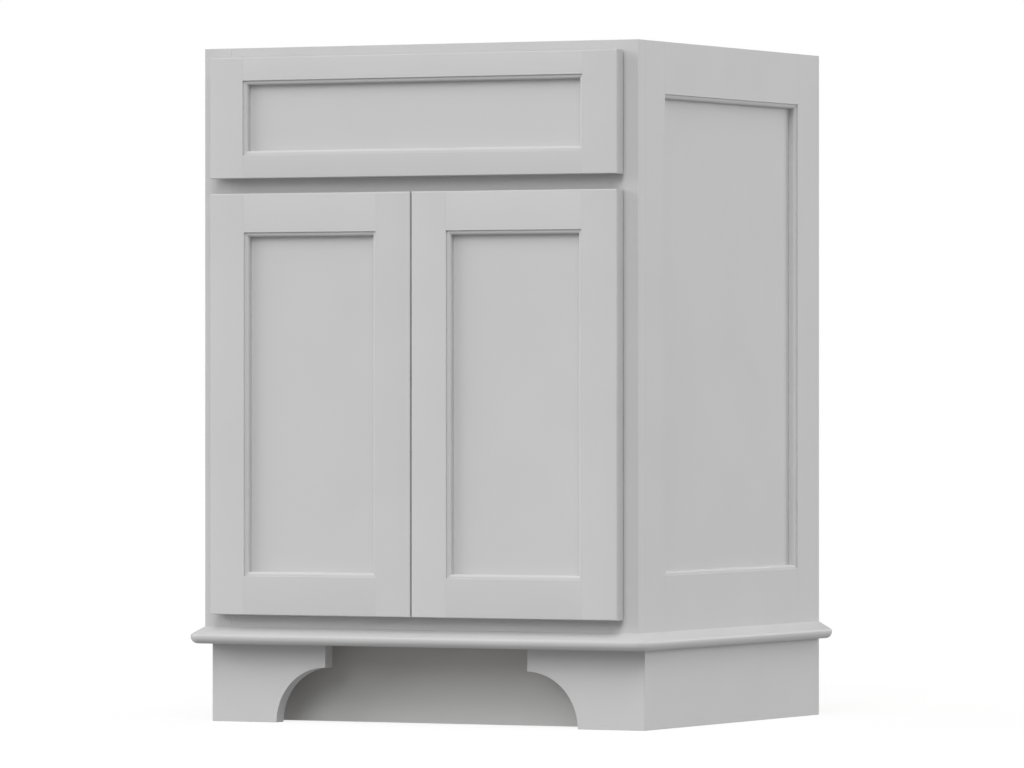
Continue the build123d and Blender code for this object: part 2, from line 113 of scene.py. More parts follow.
class NodeSheet:
    """A material's node tree, with short calls that add and join nodes."""

    octave_share: float = 0.55

    def __init__(self, name: str) -> None:
        """Starts an empty material with its output and shader.

        Args:
            name: the material's name.
        """
        self.material = bpy.data.materials.new(name)
        self.material.use_nodes = True
        self.tree = self.material.node_tree
        self.shader = self.tree.nodes["Principled BSDF"]
        self.coordinates = self.tree.nodes.new("ShaderNodeTexCoord")

    def add(self, kind: str, inputs: dict | None = None, **settings) -> bpy.types.Node:
        """Adds one node.

        Args:
            kind: the node's type, without its ShaderNode prefix.
            inputs: values or sockets for its inputs, by name or number.
            settings: the node's own properties.

        Returns:
            The new node.
        """
        node = self.tree.nodes.new(f"ShaderNode{kind}")
        for key, value in settings.items():
            setattr(node, key, value)
        for key, value in (inputs or {}).items():
            self.put(node.inputs[key], value)
        return node

    def put(self, socket: Socket, value: object) -> None:
        """Sets an input to a value, or joins it to another node's output.

        Args:
            socket: the input.
            value: a plain value, or the output that feeds the input.
        """
        if isinstance(value, Socket):
            self.tree.links.new(value, socket)
        else:
            socket.default_value = value

    def set(self, **values: object) -> None:
        """Sets the shader's inputs.

        Args:
            values: input names with underscores for spaces, and their values or sockets.
        """
        for key, value in values.items():
            self.put(self.shader.inputs[key.replace("_", " ")], value)

    def drawn_out(self, grain: Run, fineness: Pair) -> Socket:
        """The piece's own coordinates, scaled so that a pattern is drawn out along the grain.

        Args:
            grain: which way the grain runs.
            fineness: factors along the grain and across it.

        Returns:
            The scaled vector's socket.
        """
        along, over = fineness
        scale = tuple(along if axis == grain.value else over for axis in range(3))
        mapping = self.add("Mapping", {"Vector": self.coordinates.outputs["Object"], "Scale": scale})
        return mapping.outputs["Vector"]

    def noise(self, vector: Socket, scale: float = 1.0, detail: float = 3.0) -> Socket:
        """Smooth noise from 0 to 1.

        Args:
            vector: where to read it.
            scale: its fineness, per metre of the vector.
            detail: octaves of finer noise.

        Returns:
            The noise value's socket.
        """
        inputs = {"Vector": vector, "Scale": scale, "Detail": detail, "Roughness": self.octave_share}
        return self.add("TexNoise", inputs).outputs["Fac"]

    def ranged(self, value: Socket, low: float, high: float, start: float = 0.3, end: float = 0.7) -> Socket:
        """Spreads a value between two limits.

        Args:
            value: the value to spread.
            low: the result where value is start.
            high: the result where value is end.
            start: lower end of the value's own range.
            end: upper end of the value's own range.

        Returns:
            The spread value's socket.
        """
        inputs = {"Value": value, "From Min": start, "From Max": end, "To Min": low, "To Max": high}
        return self.add("MapRange", inputs).outputs["Result"]

    def math(self, operation: str, *values: object) -> Socket:
        """One arithmetic step on up to three values or sockets.

        Args:
            operation: Blender's name of the step.
            values: the values or sockets, in the node's order.

        Returns:
            The result's socket.
        """
        return self.add("Math", dict(enumerate(values)), operation=operation).outputs["Value"]

    def mixed(self, share: Socket, first: object, second: object) -> Socket:
        """A colour between two others.

        Args:
            share: how much of the second colour there is.
            first: the first colour or its socket.
            second: the second colour or its socket.

        Returns:
            The mixed colour's socket.
        """
        node = self.add("Mix", data_type="RGBA")
        self.put(node.inputs["Factor"], share)
        self.put(node.inputs[6], first)
        self.put(node.inputs[7], second)
        return node.outputs[2]

    def bump(self, height: Socket, strength: float, depth: float) -> None:
        """Gives the shader a fine relief.

        Args:
            height: the relief's height, from 0 to 1.
            strength: how strongly it turns the normal.
            depth: its depth in metres.
        """
        inputs = {"Height": height, "Strength": strength, "Distance": depth}
        self.set(Normal=self.add("Bump", inputs).outputs["Normal"])

    def along(self, output: str, run: Run) -> Socket:
        """One axis of the piece's coordinates or of its own normal.

        Args:
            output: Object or Normal.
            run: the axis.

        Returns:
            The axis value's socket.
        """
        parts = self.add("SeparateXYZ", {"Vector": self.coordinates.outputs[output]})
        return parts.outputs[run.value]


def rgba(red: float, green: float, blue: float) -> tuple[float, ...]:
    """An opaque colour in linear values."""
    return (red, green, blue, 1.0)


@dataclass(frozen=True)
class PaintFinish:
    """Satin grey paint on wood: a fine spray texture over a trace of the grain below it."""

    grain: Run
    tone: float = 0.553
    tone_spread: float = 0.006
    roughness: Pair = (0.40, 0.52)
    gloss: float = 0.4
    cloud_fineness: float = 7.0
    cloud_range: Pair = (0.35, 0.65)
    spray_fineness: float = 950.0
    grain_fineness: Pair = (6.0, 240.0)
    grain_share: float = 0.55
    relief: Pair = (0.5, 0.00002)

    def material(self) -> bpy.types.Material:
        """Draws the paint: two close greys in soft clouds, with spray and grain relief.

        Returns:
            The new material.
        """
        sheet = NodeSheet(f"grey_paint_{self.grain.name.lower()}")
        plain = sheet.coordinates.outputs["Object"]
        clouds = sheet.noise(plain, self.cloud_fineness, 2.0)
        spray = sheet.noise(plain, self.spray_fineness, 2.0)
        grain = sheet.noise(sheet.drawn_out(self.grain, self.grain_fineness), detail=4.0)
        low, high = self.tone - self.tone_spread, self.tone + self.tone_spread
        share = sheet.ranged(clouds, 0.0, 1.0, *self.cloud_range)
        sheet.set(
            Base_Color=sheet.mixed(share, rgba(low, low, low), rgba(high, high, high)),
            Roughness=sheet.ranged(spray, *self.roughness),
            Specular_IOR_Level=self.gloss,
        )
        sheet.bump(sheet.math("MULTIPLY_ADD", grain, self.grain_share, spray), *self.relief)
        return sheet.material


@dataclass(frozen=True)
class PlywoodFinish:
    """Clear-coated plywood: drawn-out face veneer, and layered plies on the edges."""

    grain: Run
    thickness: Run
    ply: float = 0.0014
    light: Triple = (0.66, 0.50, 0.325)
    dark: Triple = (0.53, 0.375, 0.22)
    glue: Triple = (0.30, 0.19, 0.10)
    glue_share: float = 0.09
    figure_fineness: Pair = (1.6, 22.0)
    figure_bands: float = 9.0
    figure_share: float = 0.6
    fibre_fineness: Pair = (18.0, 900.0)
    fibre_share: Pair = (-0.15, 0.45)
    ply_blend: Pair = (0.35, 0.6)
    roughness: Pair = (0.34, 0.5)
    coat: Pair = (0.2, 0.3)
    relief: Pair = (0.35, 0.00006)

    def edge(self, sheet: NodeSheet) -> Socket:
        """Draws the plies as light and dark bands across the thickness, with glue lines between.

        Args:
            sheet: the material's node tree.

        Returns:
            The edge colour's socket.
        """
        layer = sheet.math("DIVIDE", sheet.along("Object", self.thickness), self.ply)
        cross = sheet.ranged(sheet.math("PINGPONG", layer, 1.0), 0.0, 1.0, *self.ply_blend)
        plies = sheet.mixed(cross, rgba(*self.light), rgba(*self.dark))
        line = sheet.math("LESS_THAN", sheet.math("PINGPONG", layer, 0.5), self.glue_share)
        return sheet.mixed(line, plies, rgba(*self.glue))

    def material(self) -> bpy.types.Material:
        """Draws the veneer as stretched noise folded into bands, and the plies where a face is an edge.

        Returns:
            The new material.
        """
        sheet = NodeSheet(f"plywood_{self.grain.name.lower()}_{self.thickness.name.lower()}")
        figure = sheet.noise(sheet.drawn_out(self.grain, self.figure_fineness), detail=5.0)
        fibre = sheet.noise(sheet.drawn_out(self.grain, self.fibre_fineness))
        bands = sheet.math("PINGPONG", sheet.math("MULTIPLY", figure, self.figure_bands), 1.0)
        streaks = sheet.ranged(fibre, *self.fibre_share)
        share = sheet.math("MULTIPLY_ADD", bands, self.figure_share, streaks)
        veneer = sheet.mixed(share, rgba(*self.light), rgba(*self.dark))
        facing = sheet.math("ABSOLUTE", sheet.along("Normal", self.thickness))
        coat_weight, coat_roughness = self.coat
        sheet.set(
            Base_Color=sheet.mixed(sheet.math("LESS_THAN", facing, 0.5), veneer, self.edge(sheet)),
            Roughness=sheet.ranged(fibre, *self.roughness),
            Coat_Weight=coat_weight,
            Coat_Roughness=coat_roughness,
        )
        sheet.bump(fibre, *self.relief)
        return sheet.material


@dataclass(frozen=True)
class BareWoodFinish:
    """Bare softwood blocks: growth bands on the long faces, rings on the sawn ends."""

    grain: Run
    early: Triple = (0.72, 0.56, 0.37)
    late: Triple = (0.52, 0.34, 0.185)
    band_fineness: Pair = (5.0, 70.0)
    band_scale: float = 1.3
    band_wander: float = 5.0
    wander_scale: float = 0.7
    fibre_fineness: Pair = (25.0, 1100.0)
    fibre_share: Pair = (0.55, 1.0)
    roughness: Pair = (0.58, 0.74)
    relief: Pair = (0.6, 0.00012)

    def material(self) -> bpy.types.Material:
        """Draws growth bands as a distorted wave that is drawn out along the grain.

        Returns:
            The new material.
        """
        sheet = NodeSheet(f"bare_wood_{self.grain.name.lower()}")
        inputs = {
            "Vector": sheet.drawn_out(self.grain, self.band_fineness),
            "Scale": self.band_scale, "Distortion": self.band_wander,
            "Detail": 3.0, "Detail Scale": self.wander_scale,
        }
        shape = {"wave_type": "RINGS", "wave_profile": "SAW", "rings_direction": "XYZ"[self.grain.value]}
        wave = sheet.add("TexWave", inputs, **shape)
        fibre = sheet.noise(sheet.drawn_out(self.grain, self.fibre_fineness))
        share = sheet.math("MULTIPLY", wave.outputs["Fac"], sheet.ranged(fibre, *self.fibre_share))
        sheet.set(
            Base_Color=sheet.mixed(share, rgba(*self.early), rgba(*self.late)),
            Roughness=sheet.ranged(fibre, *self.roughness),
        )
        sheet.bump(fibre, *self.relief)
        return sheet.material


@dataclass(frozen=True)
class MetalFinish:
    """Plated metal with a fine tumbled surface."""

    name: str
    colour: Triple
    roughness: Pair
    speck_fineness: float
    cloud_fineness: float = 160.0
    dull_share: float = 0.86
    relief: Pair = (0.08, 0.00001)

    def material(self) -> bpy.types.Material:
        """Draws the plating: bright metal whose gloss follows fine specks and whose tone follows clouds.

        Returns:
            The new material.
        """
        sheet = NodeSheet(self.name)
        plain = sheet.coordinates.outputs["Object"]
        specks = sheet.noise(plain, self.speck_fineness)
        clouds = sheet.noise(plain, self.cloud_fineness, 2.0)
        dull = tuple(self.dull_share * part for part in self.colour)
        sheet.set(
            Base_Color=sheet.mixed(clouds, rgba(*self.colour), rgba(*dull)),
            Roughness=sheet.ranged(specks, *self.roughness),
            Metallic=1.0,
        )
        sheet.bump(specks, *self.relief)
        return sheet.material


@dataclass(frozen=True)
class BumperFinish:
    """Soft clear plastic that has gone slightly cloudy."""

    colour: Triple = (0.86, 0.86, 0.83)
    haze: Triple = (0.70, 0.71, 0.70)
    cloud_fineness: float = 420.0
    roughness: Pair = (0.22, 0.4)
    clearness: float = 0.45
    ior: float = 1.49
    relief: Pair = (0.2, 0.00002)

    def material(self) -> bpy.types.Material:
        """Draws the plastic: part see-through, with haze in soft clouds.

        Returns:
            The new material.
        """
        sheet = NodeSheet("bumper_plastic")
        clouds = sheet.noise(sheet.coordinates.outputs["Object"], self.cloud_fineness, 2.0)
        sheet.set(
            Base_Color=sheet.mixed(clouds, rgba(*self.colour), rgba(*self.haze)),
            Roughness=sheet.ranged(clouds, *self.roughness),
            Transmission_Weight=self.clearness,
            IOR=self.ior,
        )
        sheet.bump(clouds, *self.relief)
        return sheet.material


PAINT = {run: PaintFinish(run) for run in Run}
NICKEL = MetalFinish("nickel_plate", (0.80, 0.79, 0.77), (0.44, 0.48), 2600.0)
ZINC = MetalFinish("zinc_plate", (0.66, 0.66, 0.65), (0.28, 0.42), 900.0)
BUMPER = BumperFinish()
MATERIALS: dict[object, bpy.types.Material] = {}


def material_of(finish: object) -> bpy.types.Material:
    """The finish's material, made once and shared.

    Args:
        finish: one of the finish classes' values.

    Returns:
        Its material.
    """
    if finish not in MATERIALS:
        MATERIALS[finish] = finish.material()
    return MATERIALS[finish]


@dataclass
class Shell:
    """A closed surface: its points, and each face as a ring of point numbers."""

    points: Array
    faces: list[Face]

    def placed(self, seat: "Seat") -> "Shell":
        """The same surface moved into the row frame by a seat."""
        return Shell(seat.place(self.points), self.faces)


def rows_of_quads(numbers: Array, closed: bool = False) -> list[Face]:
    """Joins neighbouring rows of points with four-sided faces.

    Args:
        numbers: point numbers in a grid, one row for each step along the path.
        closed: whether each row's last point joins its first.

    Returns:
        The faces, as rows of four point numbers.
    """
    if closed:
        numbers = np.concatenate([numbers, numbers[:, :1]], axis=1)
    corners = (numbers[:-1, :-1], numbers[:-1, 1:], numbers[1:, 1:], numbers[1:, :-1])
    return np.stack(corners, axis=-1).reshape(-1, 4).tolist()


def carried(rings: Array) -> Shell:
    """A closed profile carried along a path, with flat ends.

    Args:
        rings: the profile's points at each step, shaped steps by points by three.

    Returns:
        The shell: quads between the steps, and one face on each end.
    """
    steps, count, _ = rings.shape
    numbers = np.arange(steps * count).reshape(steps, count)
    faces = rows_of_quads(numbers, closed=True)
    faces += [numbers[0, ::-1].tolist(), numbers[-1].tolist()]
    return Shell(rings.reshape(-1, 3), faces)


def joined(shells: Sequence[Shell]) -> Shell:
    """Several separate shells as one surface.

    Args:
        shells: the shells, which stay apart.

    Returns:
        One shell with all their points and faces.
    """
    starts = np.cumsum([0] + [len(shell.points) for shell in shells])
    faces = []
    for start, shell in zip(starts, shells):
        faces += [(start + np.array(face)).tolist() for face in shell.faces]
    return Shell(np.concatenate([shell.points for shell in shells]), faces)


@dataclass(frozen=True)
class Seat:
    """A place and three directions that carry local points into the row frame."""

    origin: Triple
    across: Triple
    inward: Triple
    up: Triple = Z_AXIS

    def place(self, points: Array) -> Array:
        """Origin plus each local coordinate times its direction."""
        return np.array(self.origin) + points @ np.array([self.across, self.inward, self.up])


@dataclass(frozen=True)
class Dress:
    """What a new piece is made of, what it rides on, and which CAD nodes it stands for."""

    finish: object
    slot: Slot
    body: str = CABINET
    replaces: tuple[str, ...] = ()
    ease: float = 0.0


def outward_mesh(name: str, shell: Shell) -> bpy.types.Mesh:
    """A mesh of a shell, with doubled points merged and faces turned outwards.

    Args:
        name: the mesh's name.
        shell: the surface.

    Returns:
        The new mesh.
    """
    mesh = bpy.data.meshes.new(name)
    mesh.from_pydata(shell.points.tolist(), [], shell.faces)
    tidy = bmesh.new()
    tidy.from_mesh(mesh)
    bmesh.ops.remove_doubles(tidy, verts=tidy.verts, dist=MERGE_DISTANCE)
    bmesh.ops.recalc_face_normals(tidy, faces=tidy.faces)
    tidy.to_mesh(mesh)
    tidy.free()
    return mesh


def shown(name: str, data: bpy.types.ID) -> bpy.types.Object:
    """Puts a mesh, light or camera into the scene.

    Args:
        name: the object's name.
        data: the mesh, light or camera.

    Returns:
        The new object, at the origin and unturned.
    """
    thing = bpy.data.objects.new(name, data)
    bpy.context.scene.collection.objects.link(thing)
    return thing


def make_piece(name: str, shell: Shell, dress: Dress) -> bpy.types.Object:
    """Makes a mesh object from a shell and dresses it.

    Args:
        name: the piece's name.
        shell: its surface in the row frame.
        dress: its finish, slot, body and the nodes that it replaces.

    Returns:
        The finished object, at the origin and unturned.
    """
    mesh = outward_mesh(name, shell)
    mesh.shade_smooth()
    mesh.set_sharp_from_angle(angle=SHARP_ANGLE)
    mesh.materials.append(material_of(dress.finish))
    piece = shown(name, mesh)
    if dress.ease:
        bevel = piece.modifiers.new("eased_edges", "BEVEL")
        bevel.width = dress.ease
        bevel.segments = EASE_SEGMENTS
        bevel.limit_method = "ANGLE"
        bevel.angle_limit = SHARP_ANGLE
        bevel.harden_normals = True
    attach(piece, dress.body)
    if dress.replaces:
        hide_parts(*dress.replaces)
    LOG.info("piece %s: %d points, rides on %s", name, len(mesh.vertices), dress.body)
    return piece


def paint_piece(
    node: str, shell: Shell, grain: Run, ease: float = 0.0, body: str = CABINET
) -> bpy.types.Object:
    """Makes the painted piece that stands for a CAD node.

    Args:
        node: the node's name.
        shell: the piece's surface in the row frame.
        grain: which way the wood below the paint runs.
        ease: how far its edges are eased.
        body: the body that it rides on.

    Returns:
        The finished piece.
    """
    return make_piece(f"painted_{node}", shell, Dress(PAINT[grain], Slot.PAINT, body, (node,), ease))


def dress_node(node: str, finish: object) -> None:
    """Gives a CAD node that stays in view its finish.

    Args:
        node: the node's name.
        finish: one of the finish classes' values.
    """
    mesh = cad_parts[node].data
    mesh.materials.clear()
    mesh.materials.append(material_of(finish))
    LOG.info("node %s: %s", node, MATERIALS[finish].name)


def board(low: Sequence[float], high: Sequence[float], run: Run) -> Shell:
    """A straight board: a rectangle carried from one end to the other along its run.

    Args:
        low: its lowest corner.
        high: its highest corner.
        run: the axis that it runs along.

    Returns:
        The board's shell.
    """
    low, high = np.array(low), np.array(high)
    others = [axis for axis in range(3) if axis != run.value]
    shares = np.array([[0, 0], [1, 0], [1, 1], [0, 1]], float)
    rings = np.empty((2, 4, 3))
    rings[:, :, others] = low[others] + shares * (high - low)[others]
    rings[:, :, run.value] = np.array([low[run.value], high[run.value]])[:, None]
    return carried(rings)


def arc(centre: Sequence[float], radius: float, start: float, end: float, steps: int) -> Array:
    """Points at even angles round part of a circle, in degrees from the first axis."""
    angles = np.radians(np.linspace(start, end, steps + 1))
    return np.array(centre) + radius * np.stack([np.cos(angles), np.sin(angles)], axis=1)


@dataclass(frozen=True)
class Sticking:
    """The moulded inner edge of every frame: quirk, fillet, quarter round and panel groove."""

    quirk: float = 0.0022
    fillet: float = 0.0018
    round_radius: float = 0.0035
    groove_depth: float = 0.005
    back_lip: float = 0.003
    groove_width: float = 0.0053
    arc_steps: int = 12

    @property
    def width(self) -> float:
        """How far the moulded edge reaches past the flat."""
        return self.fillet + self.round_radius

    def section(self, thickness: float) -> Array:
        """The edge's outline from the quirk to the back, as offset from the flat and depth.

        Args:
            thickness: the member's thickness.

        Returns:
            Rows of offset and depth.
        """
        centre = (self.fillet, self.quirk + self.round_radius)
        rounded = arc(centre, self.round_radius, -90.0, 0.0, self.arc_steps)
        groove_back = thickness - self.back_lip
        groove_front = groove_back - self.groove_width
        floor = self.width - self.groove_depth
        groove = [
            (self.width, groove_front), (floor, groove_front), (floor, groove_back),
            (self.width, groove_back), (self.width, thickness),
        ]
        return np.concatenate([[(0.0, self.quirk)], rounded, np.array(groove)])


@dataclass(frozen=True)
class Member:
    """One stile or rail: a flat board whose inner edge carries the sticking, mitred at its ends.

    Local points are distance from the outer edge, depth behind the face, and place along the run.
    """

    flat: float
    thickness: float
    body: Pair
    bead: Pair
    face_round: float = 0.0
    back_chamfer: float = 0.0
    round_steps: int = 5

    def outline(self) -> Array:
        """The board's outline from the back of the flat round the outer edge to its face.

        Returns:
            Rows of distance and depth.
        """
        back = [(self.flat, self.thickness)]
        if not self.face_round:
            return np.array([*back, (0.0, self.thickness), (0.0, 0.0), (self.flat, 0.0)])
        chamfer = self.back_chamfer
        back += [(chamfer, self.thickness), (0.0, self.thickness - chamfer)]
        centre = (self.face_round, self.face_round)
        nose = arc(centre, self.face_round, 180.0, 270.0, self.round_steps)
        return np.concatenate([np.array(back), nose, [(self.flat, 0.0)]])

    def stations(self) -> Array:
        """Places along the run: the ends' rounding, then where the bead's mitres start.

        Returns:
            Sorted places, each once.
        """
        ends = np.array(self.body)
        if self.face_round and self.body != self.bead:
            turn = arc((0.0, 0.0), self.face_round, 0.0, 90.0, self.round_steps)
            inset = np.append(self.face_round - turn[:, 0], self.back_chamfer)
            ends = np.concatenate([self.body[0] + inset, self.body[1] - inset])
        return np.unique(np.concatenate([ends, self.bead]).round(9))

    def body_rings(self) -> Array:
        """The board's rings: its outline at each station, held between a face and a back limit.

        Near a shaped end, at a distance s from it, the face lies back by r - sqrt(r^2 - (r - s)^2)
        and the back comes forward by the chamfer less s.

        Returns:
            Points shaped stations by outline by three.
        """
        stations, outline = self.stations(), self.outline()
        from_end = np.minimum(stations - self.body[0], self.body[1] - stations)
        face, back = np.zeros_like(stations), np.full_like(stations, self.thickness)
        if self.body != self.bead:
            gap = np.clip(self.face_round - from_end, 0.0, None)
            face = self.face_round - np.sqrt(np.clip(self.face_round**2 - gap**2, 0.0, None))
            back = self.thickness - np.clip(self.back_chamfer - from_end, 0.0, None)
        rings = np.empty((len(stations), len(outline), 3))
        rings[:, :, 0] = outline[:, 0]
        rings[:, :, 1] = np.clip(outline[:, 1], face[:, None], back[:, None])
        rings[:, :, 2] = stations[:, None]
        return rings

    def shell(self, sticking: Sticking) -> Shell:
        """The board's rings, the mitred bead beside them, and the faces that close their ends.

        Args:
            sticking: the moulded edge.

        Returns:
            The closed shell in local points.
        """
        rings = self.body_rings()
        steps, count, _ = rings.shape
        numbers = np.arange(steps * count).reshape(steps, count)
        first, last = (int(np.argmin(np.abs(self.stations() - place))) for place in self.bead)
        edge = sticking.section(self.thickness)
        beads = np.empty((2, len(edge), 3))
        beads[:, :, 0] = self.flat + edge[:, 0]
        beads[:, :, 1] = edge[:, 1]
        beads[0, :, 2] = self.bead[0] + edge[:, 0]
        beads[1, :, 2] = self.bead[1] - edge[:, 0]
        bead_numbers = steps * count + np.arange(2 * len(edge)).reshape(2, -1)
        mitres = np.stack([
            np.concatenate([[numbers[place, -1]], row, [numbers[place, 0]]])
            for place, row in zip((first, last), bead_numbers)
        ])
        faces = rows_of_quads(numbers) + rows_of_quads(mitres)
        for place, end, row in ((first, 0, mitres[0]), (last, steps - 1, mitres[1])):
            faces.append(row[1:].tolist())
            if place == end:
                faces.append([*numbers[end].tolist(), int(row[1])])
                continue
            faces.append(numbers[end].tolist())
            walls = numbers[min(place, end):max(place, end) + 1]
            walls = walls if end == 0 else walls[::-1]
            faces.append([*walls[:, -1].tolist(), int(row[1]), *walls[::-1, 0].tolist()])
        return Shell(np.concatenate([rings.reshape(-1, 3), beads.reshape(-1, 3)]), faces)


@dataclass(frozen=True)
class FramedPanel:
    """Two stiles, two rails and a loose panel, with its face on a seat's front plane."""

    width: float
    height: float
    thickness: float
    stiles: Pair
    rails: Pair
    face_round: float = 0.0
    back_chamfer: float = 0.0
    sticking: Sticking = Sticking()

    def member(self, flat: float, body: Pair, bead: Pair) -> Shell:
        """One stile or rail of this frame, in its own local points."""
        edges = (self.face_round, self.back_chamfer)
        return Member(flat, self.thickness, body, bead, *edges).shell(self.sticking)

    def shells(self) -> dict[str, Shell]:
        """The four members in the frame's local points: across, inward and up.

        Returns:
            Shells by name. Stiles run the full height, and rails run between their flats.
        """
        left, right = self.stiles
        bottom, top = self.rails
        upright = ((0.0, self.height), (bottom, self.height - top))
        between = ((left, self.width - right),) * 2
        shells = {
            "left_stile": self.member(left, *upright),
            "right_stile": self.member(right, *upright),
            "bottom_rail": self.member(bottom, *between),
            "top_rail": self.member(top, *between),
        }
        for name in ("bottom_rail", "top_rail"):
            shells[name].points = shells[name].points[:, [2, 1, 0]]
        shells["right_stile"].points[:, 0] = self.width - shells["right_stile"].points[:, 0]
        shells["top_rail"].points[:, 2] = self.height - shells["top_rail"].points[:, 2]
        return shells


def node_box(node: str) -> tuple[Array, Array]:
    """A CAD node's lowest and highest corners as arrays."""
    low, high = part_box(node)
    return np.array(low), np.array(high)


def span_of(*nodes: str) -> tuple[Array, Array]:
    """The box round several CAD nodes.

    Args:
        nodes: the nodes' names.

    Returns:
        The lowest and highest corners.
    """
    lows, highs = zip(*(node_box(node) for node in nodes))
    return np.min(lows, axis=0), np.max(highs, axis=0)


def bored(piece: bpy.types.Object, centres: Array, radius: float, depth: float, steps: int = 64) -> None:
    """Cuts round sockets into a piece's back, along -Y, and keeps the cut mesh.

    Args:
        piece: the piece to cut.
        centres: the sockets' centres on the back face.
        radius: their radius.
        depth: how deep they go.
        steps: sides of each socket.
    """
    ring = arc((0.0, 0.0), radius, 0.0, 360.0, steps)[:-1]
    depths = np.array([-depth, depth])
    plugs = []
    for centre in centres:
        rings = np.empty((2, steps, 3))
        rings[:, :, 0] = centre[0] + ring[:, 0]
        rings[:, :, 1] = centre[1] + depths[:, None]
        rings[:, :, 2] = centre[2] + ring[:, 1]
        plugs.append(carried(rings))
    plug = shown("socket_plugs", outward_mesh("socket_plugs", joined(plugs)))
    cut = piece.modifiers.new("sockets", "BOOLEAN")
    cut.operation = "DIFFERENCE"
    cut.solver = "EXACT"
    cut.object = plug
    piece.modifiers.move(len(piece.modifiers) - 1, 0)
    for modifier in list(piece.modifiers)[1:]:
        modifier.show_viewport = False
    graph = bpy.context.evaluated_depsgraph_get()
    cut_mesh = bpy.data.meshes.new_from_object(piece.evaluated_get(graph))
    piece.modifiers.remove(cut)
    for modifier in piece.modifiers:
        modifier.show_viewport = True
    cut_mesh.name = piece.data.name
    piece.data = cut_mesh
    cut_mesh.set_sharp_from_angle(angle=SHARP_ANGLE)
    bpy.data.objects.remove(plug)


@dataclass(frozen=True)
class Fronts:
    """The false front and the two doors, each a framed panel laid over the face frame."""

    face_round: float = 0.0012
    back_chamfer: float = 0.0015
    false_flats: Pair = (0.0468, 0.0293)
    door_flats: Pair = (0.0485, 0.049)
    ease: float = 0.0002
    cup_radius: float = 0.0176
    cup_edge: float = 0.0205
    cup_depth: float = 0.0125
    cup_from_end: float = 0.0889

    def framed(self, low: Array, high: Array, flats: Pair) -> dict[str, Shell]:
        """A front's members in the row frame.

        Args:
            low: the front's lowest corner.
            high: its highest corner.
            flats: flat widths of its stiles and of its rails.

        Returns:
            Shells by member.
        """
        width, thickness, height = high - low
        stile, rail = flats
        shaped = FramedPanel(width, height, thickness, (stile, stile), (rail, rail),
                             self.face_round, self.back_chamfer)
        seat = Seat(tuple(low), X_AXIS, Y_AXIS)
        return {name: shell.placed(seat) for name, shell in shaped.shells().items()}

    def build_false_front(self) -> None:
        """Makes the fixed front over the basin."""
        members = ("left_stile", "right_stile", "top_rail", "bottom_rail")
        low, high = span_of(*(f"false_front_{member}" for member in members))
        for member, shell in self.framed(low, high, self.false_flats).items():
            grain = Run.UP if "stile" in member else Run.ACROSS
            paint_piece(f"false_front_{member}", shell, grain, self.ease)
        dress_node("false_front_panel", PAINT[Run.ACROSS])

    def build_door(self, side: Side) -> None:
        """Makes one door, with sockets for its hinge cups.

        Args:
            side: which door.
        """
        inner, outer = ("left_stile", "right_stile")[::int(side.value)]
        names = {inner: "meeting_stile", outer: "hinge_stile"}
        prefix = f"{side.word}_door_"
        low, high = span_of(*(prefix + word for word in (*names.values(), "top_rail", "bottom_rail")))
        for member, shell in self.framed(low, high, self.door_flats).items():
            grain = Run.UP if "stile" in member else Run.ACROSS
            node = prefix + names.get(member, member)
            piece = paint_piece(node, shell, grain, self.ease, side.door)
            if node.endswith("hinge_stile"):
                edge = high[0] if side is Side.RIGHT else low[0]
                x = edge - side.value * self.cup_edge
                heights = (low[2] + self.cup_from_end, high[2] - self.cup_from_end)
                centres = np.array([(x, high[1], z) for z in heights])
                bored(piece, centres, self.cup_radius, self.cup_depth)
        dress_node(f"{prefix}panel", PAINT[Run.UP])


@dataclass(frozen=True)
class FinishedEnd:
    """A frame-and-panel end, flush with the face frame's edge."""

    side: Side
    stiles: Pair = (0.057, 0.065)
    rails: Pair = (0.080, 0.065)
    ease: float = 0.00025

    def build(self) -> None:
        """Makes the end's four members and dresses its panel."""
        prefix = f"{self.side.word}_end_"
        names = {"left_stile": "front_stile", "right_stile": "rear_stile"}
        low, high = span_of(*(prefix + word for word in (*names.values(), "top_rail", "bottom_rail")))
        thickness, width, height = high - low
        outside = high[0] if self.side is Side.RIGHT else low[0]
        seat = Seat((outside, low[1], low[2]), Y_AXIS, (-self.side.value, 0.0, 0.0))
        shaped = FramedPanel(width, height, thickness, self.stiles, self.rails)
        for member, shell in shaped.shells().items():
            grain = Run.UP if "stile" in member else Run.BACK
            paint_piece(prefix + names.get(member, member), shell.placed(seat), grain, self.ease)
        dress_node(f"{prefix}panel", PAINT[Run.UP])


@dataclass(frozen=True)
class FaceFrame:
    """The five painted boards of the face frame, with eased edges."""

    ease: float = 0.0003

    def build(self) -> None:
        """Makes each stile and rail as a board in its node's box."""
        for word in ("left_stile", "right_stile", "top_rail", "middle_rail", "bottom_rail"):
            node = f"frame_{word}"
            run = Run.UP if "stile" in word else Run.ACROSS
            paint_piece(node, board(*node_box(node), run), run, self.ease)


